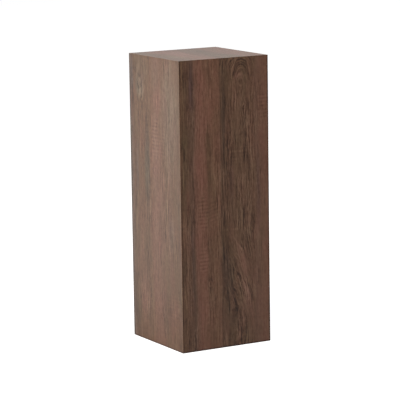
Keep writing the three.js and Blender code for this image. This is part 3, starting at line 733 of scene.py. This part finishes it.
def wall_mesh():
    """The front wall, outside face rounded into its three mitred edges."""
    w = Weld()
    inner = HALF - BOARD
    cols = stations(-HALF + ARRIS, HALF - ARRIS, 6)
    rows = stations(WALL_LOW, HEIGHT - ARRIS, 14, ends=(False, True))

    def outer(i, j):
        (cx, a), (cz, b) = cols[i], rows[j]
        n = Vector((math.tan(a), -1.0, math.tan(b))).normalized()
        p = Vector((cx, -HALF + ARRIS, cz)) + n * ARRIS
        deep = p.y + HALF
        p.x = max(min(p.x, HALF - deep - GAP), -HALF + deep + GAP)
        p.z = min(p.z, HEIGHT - deep - GAP)
        return p

    def hidden(i, j):
        p = outer(i, j)
        r = inner - GAP
        return Vector((max(min(p.x, r), -r), -inner, max(min(p.z, HEIGHT - BOARD - GAP), WALL_LOW)))

    ni, nj = len(cols), len(rows)
    for i in range(ni - 1):
        for j in range(nj - 1):
            w.face([outer(i, j), outer(i + 1, j), outer(i + 1, j + 1), outer(i, j + 1)], 0)
            w.face([hidden(i, j), hidden(i, j + 1), hidden(i + 1, j + 1), hidden(i + 1, j)], 1)
    for i in range(ni - 1):
        w.face([outer(i + 1, 0), outer(i, 0), hidden(i, 0), hidden(i + 1, 0)], 2)
        w.face([outer(i, nj - 1), outer(i + 1, nj - 1), hidden(i + 1, nj - 1), hidden(i, nj - 1)], 2)
    for j in range(nj - 1):
        w.face([outer(0, j), outer(0, j + 1), hidden(0, j + 1), hidden(0, j)], 2)
        w.face([outer(ni - 1, j + 1), outer(ni - 1, j), hidden(ni - 1, j), hidden(ni - 1, j + 1)], 2)
    return w


def top_mesh():
    w = Weld()
    inner = HALF - BOARD
    line = stations(-HALF + ARRIS, HALF - ARRIS, 6)

    def outer(i, j):
        (cx, a), (cy, b) = line[i], line[j]
        n = Vector((math.tan(a), math.tan(b), 1.0)).normalized()
        p = Vector((cx, cy, HEIGHT - ARRIS)) + n * ARRIS
        r = HALF - (HEIGHT - p.z) - GAP
        p.x, p.y = max(min(p.x, r), -r), max(min(p.y, r), -r)
        return p

    def hidden(i, j):
        p = outer(i, j)
        r = inner - GAP
        return Vector((max(min(p.x, r), -r), max(min(p.y, r), -r), HEIGHT - BOARD))

    n = len(line)
    for i in range(n - 1):
        for j in range(n - 1):
            w.face([outer(i, j), outer(i + 1, j), outer(i + 1, j + 1), outer(i, j + 1)], 0)
            w.face([hidden(i, j), hidden(i, j + 1), hidden(i + 1, j + 1), hidden(i + 1, j)], 1)
    for i in range(n - 1):
        w.face([outer(i + 1, 0), outer(i, 0), hidden(i, 0), hidden(i + 1, 0)], 2)
        w.face([outer(i, n - 1), outer(i + 1, n - 1), hidden(i + 1, n - 1), hidden(i, n - 1)], 2)
        w.face([outer(0, i), outer(0, i + 1), hidden(0, i + 1), hidden(0, i)], 2)
        w.face([outer(n - 1, i + 1), outer(n - 1, i), hidden(n - 1, i), hidden(n - 1, i + 1)], 2)
    return w


def strip_mesh():
    """The front edging strip: its outer corner eased, its ends rounded and mitred like the wall above it."""
    w = Weld()
    ease_r = 0.0004
    cols = stations(-HALF + ARRIS, HALF - ARRIS, 4)
    profile = [(ease_r * (1 - math.sin(f)), ease_r * (1 - math.cos(f))) for f in [math.radians(90) * k / 4 for k in range(5)]]
    profile = [(BOARD, 0.0)] + profile + [(0.0, STRIP_HIGH), (BOARD, STRIP_HIGH)]

    def at(i, k):
        cx, a = cols[i]
        deep, z = profile[k]
        if deep <= ARRIS:
            r = ARRIS - deep
            x, y = cx + r * math.sin(a), -HALF + ARRIS - r * math.cos(a)
        else:
            s = HALF - deep
            x = cx if abs(a) < 1e-9 else math.copysign(s, cx)
            x, y = max(min(x, s), -s), -s
        lim = -y - GAP
        return Vector((max(min(x, lim), -lim), y, z))

    ni, nk = len(cols), len(profile)
    for i in range(ni - 1):
        for k in range(nk):
            k2 = (k + 1) % nk
            w.face([at(i, k), at(i + 1, k), at(i + 1, k2), at(i, k2)], 0 if 1 <= k < nk - 1 else 1)
    w.face([at(0, k) for k in range(nk)], 1)
    w.face([at(ni - 1, k) for k in reversed(range(nk))], 1)
    return w


def quarter(k):
    return Matrix.Rotation(k * math.pi / 2, 4, "Z")


def biscuit_slot(room=0.0004, thick=0.0043):
    """Cutter for one biscuit slot, its length along X, its width along Y."""
    length, width, arc = 0.056, 0.023, 0.051
    end = length / 2 + room
    pts = []
    n = 8
    for sgn in (-1, 1):
        row = []
        for i in range(n + 1):
            x = -end + 2 * end * i / n
            yy = math.sqrt(arc * arc - x * x) - (arc - width / 2) + room
            row.append((x, sgn * yy))
        pts += row if sgn < 0 else row[::-1]
    m = len(pts)
    verts = [(x, y, -thick / 2) for x, y in pts] + [(x, y, thick / 2) for x, y in pts]
    faces = [list(range(m))[::-1], list(range(m, 2 * m))] + [[i, (i + 1) % m, m + (i + 1) % m, m + i] for i in range(m)]
    return verts, faces


SET_IN = 0.0135


def corner_place(z):
    s = 1 / math.sqrt(2)
    return Matrix(((0, s, -s, HALF - SET_IN), (0, s, s, -HALF + SET_IN), (1, 0, 0, z), (0, 0, 0, 1)))


def edge_place():
    s = 1 / math.sqrt(2)
    return Matrix(((1, 0, 0, 0), (0, s, -s, -HALF + SET_IN), (0, s, s, HEIGHT - SET_IN), (0, 0, 0, 1)))


def cut(o, places):
    """Takes biscuit slots out of a board, with the cut faces in the board's core."""
    verts, faces = biscuit_slot()
    tools = []
    bm = bmesh.new()
    for m in places:
        vs = [bm.verts.new(m @ Vector(v)) for v in verts]
        for f in faces:
            bm.faces.new([vs[i] for i in f])
    bmesh.ops.recalc_face_normals(bm, faces=bm.faces)
    me = bpy.data.meshes.new("slots")
    bm.to_mesh(me)
    bm.free()
    me.materials.append(CORE)
    tool = bpy.data.objects.new("slots", me)
    scene.collection.objects.link(tool)
    b = o.modifiers.new("slots", "BOOLEAN")
    b.operation, b.object, b.solver = "DIFFERENCE", tool, "EXACT"
    b.material_mode = "TRANSFER"
    made = bpy.data.meshes.new_from_object(o.evaluated_get(bpy.context.evaluated_depsgraph_get()))
    o.modifiers.clear()
    o.data = made
    bpy.data.objects.remove(tool)


BISCUIT_LEVELS = (0.170, 0.500, 0.830)


def show(o, body, slot, *nodes):
    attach(o, body)
    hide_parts(*nodes)


for k, side in enumerate(SIDES):
    w = wall_mesh()
    o = mesh_object(f"wall_{side}", [quarter(k) @ Vector(p) for p in w.points], w.faces, (MAT[side], BACKING, CORE), w.slots)
    places = [quarter(k) @ q @ corner_place(z) for z in BISCUIT_LEVELS for q in (quarter(0), quarter(3))] + [quarter(k) @ edge_place()]
    cut(o, places)
    sharpen(o)
    show(o, "carcass", "decor_board", f"{side}_panel")

    w = strip_mesh()
    o = mesh_object(f"edging_{side}", [quarter(k) @ Vector(p) for p in w.points], w.faces, (EDGING,), [0] * len(w.faces))
    sharpen(o)
    show(o, "carcass", "decor_edging", f"edge_strip_{side}")

w = top_mesh()
o = mesh_object("top", w.points, w.faces, (MAT["top"], BACKING, CORE), w.slots)
cut(o, [quarter(k) @ edge_place() for k in range(4)])
sharpen(o)
show(o, "carcass", "decor_board", "top_panel")


# ---- Screws, nuts and levelling feet ------------------------------------------------------
def ring(segs, radius, z):
    """One ring of points; radius and z are numbers, or functions of the angle. In millimetres."""
    out = []
    for j in range(segs):
        f = 2 * math.pi * j / segs
        r = radius(f) if callable(radius) else radius
        h = z(f) if callable(z) else z
        out.append((r * math.cos(f) / mm, r * math.sin(f) / mm, h / mm))
    return out


def hoops(w, rows):
    """Faces between one ring and the next. A ring of zero radius is a point."""
    for a, b in zip(rows, rows[1:]):
        n = len(a)
        for j in range(n):
            k = (j + 1) % n
            w.face([a[j], a[k], b[k], b[j]])


def thread(w, segs, z0, z1, pitch, form, core, crest):
    """A right-hand thread on a core, running out at both ends. form: (share of the pitch, height 0 to 1)."""
    n = len(form)
    turns = int(math.ceil((z1 - z0) / pitch)) + 2

    def point(i, j):
        if j == segs:
            i, j = i + n, 0
        share, h = form[i % n]
        z = min(max(z0 + pitch * (i // n - 1 + share + j / segs), z0), z1)
        fade = min(1.0, (z - z0) / pitch, (z1 - z) / (0.6 * pitch))
        r = core(z) + (crest(z) - core(z)) * h * fade
        f = 2 * math.pi * j / segs
        return (r * math.cos(f) / mm, r * math.sin(f) / mm, z / mm)

    for i in range(turns * n):
        for j in range(segs):
            w.face([point(i, j), point(i, j + 1), point(i + 1, j + 1), point(i + 1, j)])


def stem_mesh():
    """M8 levelling stem: snap head, neck, chamfered spanner collar and a rolled thread."""
    w = Weld()
    segs = 48
    flats, chamfer, slope = 6.5, 6.25, math.tan(math.radians(30))
    low, high = 10.3, 16.8
    root, major, end, tip = 3.32, 3.95, 42.7, 43.5

    def hexagon(f):
        return flats / math.cos((f + math.pi / 6) % (math.pi / 3) - math.pi / 6)

    rows = [ring(segs, r, z) for r, z in [
        (0, 4.4), (2.4, 4.4), (3.3, 4.6), (3.75, 5.0), (3.9, 5.45), (3.9, 6.1), (3.7, 6.55), (3.2, 6.85), (2.75, 6.95), (2.6, 7.15),
        (2.6, 10.0), (2.8, low), (chamfer, low),
    ]]
    rows.append(ring(segs, hexagon, lambda f: low + (hexagon(f) - chamfer) * slope))
    rows.append(ring(segs, hexagon, lambda f: high - (hexagon(f) - chamfer) * slope))
    rows += [ring(segs, r, z) for r, z in [(chamfer, high), (root + 0.5, high), (root, high + 0.5)]]
    hoops(w, rows)
    form = [(0.0, 0.0), (0.22, 0.0), (0.34, 0.45), (0.53, 1.0), (0.68, 1.0), (0.87, 0.45)]
    thread(w, segs, high + 0.5, end, 1.25, form, lambda z: root, lambda z: major)
    hoops(w, [ring(segs, root, end), ring(segs, 2.7, tip - 0.1), ring(segs, 2.5, tip), ring(segs, 0, tip)])
    return w


def pad_mesh():
    """Moulded glide: ringed underside, scalloped rim, coned top and a snap socket."""
    w = Weld()
    segs = 96

    def scallop(r):
        return lambda f: r - 0.30 * (0.5 + 0.5 * math.cos(24 * f)) ** 1.5

    profile = [
        (0, 2.1), (1.6, 2.1), (1.9, 1.95), (2.2, 1.6), (2.5, 1.5), (5.7, 1.5), (5.95, 1.58), (6.15, 1.9), (7.25, 1.9), (7.45, 1.58), (7.7, 1.5),
        (10.7, 1.5), (10.95, 1.58), (11.15, 1.9), (12.25, 1.9), (12.45, 1.58), (12.7, 1.5), (14.6, 1.5), (15.3, 1.62), (15.75, 1.95),
        (16.0, 2.6), (16.0, 4.1), (15.8, 4.7), (15.3, 5.2), (14.4, 5.65), (12.0, 6.85), (10.2, 7.75), (9.4, 8.2), (8.85, 8.75), (8.45, 9.4),
        (8.1, 9.8), (7.8, 9.9), (3.25, 9.9), (2.95, 9.8), (2.85, 9.5), (2.85, 7.15), (4.15, 7.15), (4.15, 4.1), (0, 4.1),
    ]
    hoops(w, [ring(segs, scallop(r) if r >= 15.2 else r, z) for r, z in profile])
    return w


def screw_mesh(long):
    """Countersunk chipboard screw, head down at z = 0, with ribs under the head and a thread to the point."""
    w = Weld()
    segs = 24
    core0, crest0, taper = 1.45, 2.12, long - 7.0

    def ribs(r, d):
        return lambda f: r - d * (0.5 + 0.5 * math.cos(8 * f))

    rows = [ring(segs, 0, 0), ring(segs, 4.1, 0), ring(segs, 4.27, 0.1), ring(segs, 4.3, 0.35), ring(segs, ribs(4.1, 0.12), 0.7), ring(segs, ribs(2.75, 0.2), 2.2), ring(segs, 2.1, 2.85), ring(segs, 1.62, 3.5), ring(segs, 1.6, 5.2), ring(segs, core0, 5.6)]
    hoops(w, rows)

    def shrink(z):
        return 1.0 if z < taper else max(0.12, 1.0 - (z - taper) / 7.3)

    thread(w, segs, 5.6, long - 0.6, 2.2, [(0.0, 0.0), (0.34, 0.0), (0.46, 1.0), (0.53, 1.0)], lambda z: core0 * shrink(z), lambda z: crest0 * (0.35 + 0.65 * shrink(z)) if z > taper else crest0)
    z1 = long - 0.6
    hoops(w, [ring(segs, core0 * shrink(z1), z1), ring(segs, 0, long)])
    return w


def nut_mesh():
    """Pronged tee nut: the flange is notched where each prong was bent up out of it."""
    w = Weld()
    z0, z1, top = 17.4, 18.9, 30.0
    bore, barrel, rim, notch, half = 4.15, 5.0, 11.0, 8.3, 2.2
    edge = []
    step = math.radians(3.75)
    for k in range(4):
        mid = math.pi / 4 + k * math.pi / 2
        outer = math.asin(half / rim)
        for i in range(4):
            edge.append((mid - outer + 2 * outer * i / 3, notch))
        a, b = mid + outer, mid + math.pi / 2 - outer
        count = max(2, round((b - a) / step))
        for i in range(count + 1):
            edge.append((a + (b - a) * i / count, rim))

    def at(f, r, z):
        return (r * math.cos(f) / mm, r * math.sin(f) / mm, z / mm)

    n = len(edge)
    soft = 0.25
    levels = [(bore, z0), (barrel + 0.6, z0), (None, z0), (None, z0 + soft), (None, z1 - soft), (None, z1), (barrel + 0.3, z1), (barrel, z1 + 0.4), (barrel, top - 0.3), (barrel - 0.2, top), (bore + 0.2, top), (bore, top - 0.2), (bore, z0)]
    for (ra, za), (rb, zb) in zip(levels, levels[1:]):
        for i in range(n):
            quad = []
            for (f, r), (rr, zz) in ((edge[i], (ra, za)), (edge[(i + 1) % n], (ra, za)), (edge[(i + 1) % n], (rb, zb)), (edge[i], (rb, zb))):
                lip = r - (soft if zz in (z0, z1) else 0.0)
                quad.append(at(f, lip if rr is None else rr, zz))
            w.face(quad)
    return w


def prong(k):
    """One prong, rising from its notch to a point."""
    c, s = math.cos(math.pi / 4 + k * math.pi / 2), math.sin(math.pi / 4 + k * math.pi / 2)
    rows = [(8.0, 9.2, 1.58, 17.5), (8.0, 9.2, 1.58, 20.6), (8.05, 9.15, 1.4, 22.0), (8.2, 9.0, 0.4, 25.9)]
    verts = []
    for r0, r1, half, z in rows:
        for r, q in ((r0, -half), (r1, -half), (r1, half), (r0, half)):
            verts.append(((r * c - q * s) / mm, (r * s + q * c) / mm, z / mm))
    faces = [[3, 2, 1, 0], [12, 13, 14, 15]]
    for i in range(3):
        for j in range(4):
            k2 = (j + 1) % 4
            faces.append([4 * i + j, 4 * i + k2, 4 * i + 4 + k2, 4 * i + 4 + j])
    return verts, faces


def combine(o, verts, faces, operation):
    me = bpy.data.meshes.new("tool")
    me.from_pydata(verts, [], faces)
    bm = bmesh.new()
    bm.from_mesh(me)
    bmesh.ops.recalc_face_normals(bm, faces=bm.faces)
    bm.to_mesh(me)
    bm.free()
    for p in me.polygons:
        p.use_smooth = True
    tool = bpy.data.objects.new("tool", me)
    scene.collection.objects.link(tool)
    b = o.modifiers.new("tool", "BOOLEAN")
    b.operation, b.object, b.solver = operation, tool, "EXACT"
    made = bpy.data.meshes.new_from_object(o.evaluated_get(bpy.context.evaluated_depsgraph_get()))
    o.modifiers.clear()
    o.data = made
    bpy.data.objects.remove(tool)


def cross_cutter():
    """A tapered cross, for the recess in a screw head."""
    a, b = 2.05, 0.52
    flat = [(a, -b), (a, b), (b, b), (b, a), (-b, a), (-b, b), (-a, b), (-a, -b), (-b, -b), (-b, -a), (b, -a), (b, -b)]
    levels = [(-0.6, 1.12), (1.35, 0.72), (2.0, 0.30)]
    verts = [(x * k / mm, y * k / mm, z / mm) for z, k in levels for x, y in flat]
    n = len(flat)
    faces = [list(range(n))[::-1], list(range(2 * n, 3 * n))]
    for i in range(2):
        faces += [[i * n + j, i * n + (j + 1) % n, (i + 1) * n + (j + 1) % n, (i + 1) * n + j] for j in range(n)]
    return verts, faces


def set_down(source, name, x, y, z):
    me = source.data.copy()
    me.transform(Matrix.Translation((x, y, z)))
    o = bpy.data.objects.new(name, me)
    scene.collection.objects.link(o)
    sharpen(o)
    return o


def middle(node):
    a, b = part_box(node)
    return (a[0] + b[0]) / 2, (a[1] + b[1]) / 2


FEET = {c: middle(f"foot_pad_{c}") for c in CORNERS}
for build, mat, body, slot, node in ((stem_mesh, ZINC, "stem", "zinc_steel", "foot_stem"), (pad_mesh, NYLON, "pad", "black_nylon", "foot_pad")):
    w = build()
    pattern = mesh_object(f"{body}_pattern", w.points, w.faces, (mat,))
    for c, (fx0, fy0) in FEET.items():
        show(set_down(pattern, f"{body}_{c}", fx0, fy0, 0.0), f"{body}_{c}", slot, f"{node}_{c}")
    bpy.data.objects.remove(pattern)

w = nut_mesh()
nut = mesh_object("nut_pattern", w.points, w.faces, (ZINC,))
for k in range(4):
    combine(nut, *prong(k), "UNION")
for c, (fx0, fy0) in FEET.items():
    show(set_down(nut, f"nut_{c}", fx0, fy0, 0.0), "carcass", "zinc_steel", f"tee_nut_{c}")
bpy.data.objects.remove(nut)

for kind, places in (("batten_screw", CORNERS), ("cleat_screw", SIDES)):
    low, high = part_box(f"{kind}_{places[0]}")
    w = screw_mesh((high[2] - low[2]) * mm)
    pattern = mesh_object("screw_pattern", w.points, w.faces, (ZINC,))
    combine(pattern, *cross_cutter(), "DIFFERENCE")
    for place in places:
        cx, cy = middle(f"{kind}_{place}")
        show(set_down(pattern, f"{kind}_shape_{place}", cx, cy, low[2]), "carcass", "zinc_steel", f"{kind}_{place}")
    bpy.data.objects.remove(pattern)


def paint(node, mat, eased):
    """Gives a CAD piece its material and takes the sharpness off its arrises."""
    o = NODES[node]
    o.data.materials.clear()
    o.data.materials.append(mat)
    b = o.modifiers.new("eased", "BEVEL")
    b.limit_method, b.angle_limit = "ANGLE", math.radians(60)
    b.width, b.segments = eased / mm, 2
    b.use_clamp_overlap = True


paint("base_panel", CORE, 0.3)
for c in CORNERS:
    paint(f"corner_batten_{c}", PINE_Z, 0.8)
    for level in ("low", "mid", "high"):
        paint(f"biscuit_{c}_{level}", BEECH, 0.35)
for side in SIDES:
    pine = PINE_X if side in ("front", "back") else PINE_Y
    paint(f"top_cleat_{side}", pine, 0.8)
    paint(f"base_cleat_{side}", pine, 0.8)
    paint(f"biscuit_top_{side}", BEECH, 0.35)

# ---- Floor, light, camera -----------------------------------------------------------------
scene.view_settings.view_transform = "Standard"
scene.view_settings.look = "None"
scene.view_settings.exposure = 0.0
scene.view_settings.gamma = 1.0

FLOOR_ALBEDO, FLOOR_GLOW = 0.3, 0.71
floor = mesh_object("floor", [(-14, -14, 0), (14, -14, 0), (14, 14, 0), (-14, 14, 0)], [[0, 1, 2, 3]], smooth=False)
ft = Tree("studio_floor")
seen = ft.node("ShaderNodeLightPath").outputs["Is Camera Ray"]
d = ft.node("ShaderNodeBsdfDiffuse")
ft.put(ft.mix(seen, (FLOOR_ALBEDO,) * 3 + (1,), (0.3, 0.3, 0.3, 1)), d.inputs["Color"])
em = ft.node("ShaderNodeEmission")
em.inputs["Color"].default_value = (1, 1, 1, 1)
fx, fy, fz = ft.split(ft.place())
glow = ft.ease(ft.mad(fx, -0.1, ft.mul(fy, 0.99)), 0.1, 1.5, 0.0, FLOOR_GLOW)
ft.put(ft.mad(ft.sub(1.0, seen), glow, ft.mul(seen, 0.9)), em.inputs["Strength"])
ad = ft.node("ShaderNodeAddShader")
ft.nt.links.new(d.outputs[0], ad.inputs[0])
ft.nt.links.new(em.outputs[0], ad.inputs[1])
fo = ft.node("ShaderNodeOutputMaterial")
ft.nt.links.new(ad.outputs[0], fo.inputs[0])
floor.data.materials.append(ft.mat)

# a wound-down foot stands on the floor, and the floor goes down with it
drop = floor.driver_add("location", 2).driver
drop.type = "SCRIPTED"
for i, c in enumerate(CORNERS):
    var = drop.variables.new()
    var.name, var.type = f"z{i}", "TRANSFORMS"
    var.targets[0].id = frame["bodies"][f"pad_{c}"]
    var.targets[0].transform_type, var.targets[0].transform_space = "LOC_Z", "WORLD_SPACE"
drop.expression = f"min(0.0, min(min(z0, z1), min(z2, z3)) + {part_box('foot_pad_front_left')[0][2]:.5f})"

world = bpy.data.worlds.new("studio")
scene.world = world
world.use_nodes = True
wn = world.node_tree
wn.nodes.clear()
BEHIND, BESIDE = 0.92, 0.23
wc = wn.nodes.new("ShaderNodeTexCoord")
wd = wn.nodes.new("ShaderNodeVectorMath")
wd.operation = "DOT_PRODUCT"
wn.links.new(wc.outputs["Generated"], wd.inputs[0])
wd.inputs[1].default_value = (-0.1, 0.99, 0.0)
wr = wn.nodes.new("ShaderNodeMapRange")
wr.interpolation_type = "SMOOTHSTEP"
wn.links.new(wd.outputs["Value"], wr.inputs["Value"])
for socket, value in zip(list(wr.inputs)[1:5], (0.1, 0.9, BESIDE, BEHIND)):
    socket.default_value = value
bg_light = wn.nodes.new("ShaderNodeBackground")
bg_light.inputs["Color"].default_value = (1, 1, 1, 1)
wn.links.new(wr.outputs["Result"], bg_light.inputs["Strength"])
bg_seen = wn.nodes.new("ShaderNodeBackground")
bg_seen.inputs["Color"].default_value = (1, 1, 1, 1)
bg_seen.inputs["Strength"].default_value = 1.0
path = wn.nodes.new("ShaderNodeLightPath")
pick = wn.nodes.new("ShaderNodeMixShader")
wo = wn.nodes.new("ShaderNodeOutputWorld")
wn.links.new(path.outputs["Is Camera Ray"], pick.inputs[0])
wn.links.new(bg_light.outputs[0], pick.inputs[1])
wn.links.new(bg_seen.outputs[0], pick.inputs[2])
wn.links.new(pick.outputs[0], wo.inputs[0])


def lamp(name, where, target, size, power):
    d = bpy.data.lights.new(name, "AREA")
    d.shape, d.size, d.energy = "SQUARE", size, power
    o = bpy.data.objects.new(name, d)
    scene.collection.objects.link(o)
    o.location = where
    o.rotation_mode = "QUATERNION"
    o.rotation_quaternion = (Vector(target) - Vector(where)).to_track_quat("-Z", "Y")
    return o


KEY, OVER, FILL = 580, 34, 165
lamp("key", (-4.6, -1.9, 3.2), (0, 0, 0.7), 1.8, KEY)
lamp("fill", (4.3, 2.5, 1.4), (0, 0, 0.55), 2.0, FILL)  # for the side turned away from the key
lamp("overhead", (-0.6, 0.2, 4.2), (0, 0, 0.9), 2.4, OVER)

cam = bpy.data.cameras.new("camera")
cam.sensor_fit = "HORIZONTAL"
cam.sensor_width = 36.0
cam.lens = 197.624
cam.clip_start, cam.clip_end = 0.1, 100.0
co = bpy.data.objects.new("camera", cam)
scene.collection.objects.link(co)
co.location = (-3.76231, -6.52300, 1.76566)
co.rotation_euler = (1.402942, 0.014503, -0.525698)
scene.camera = co
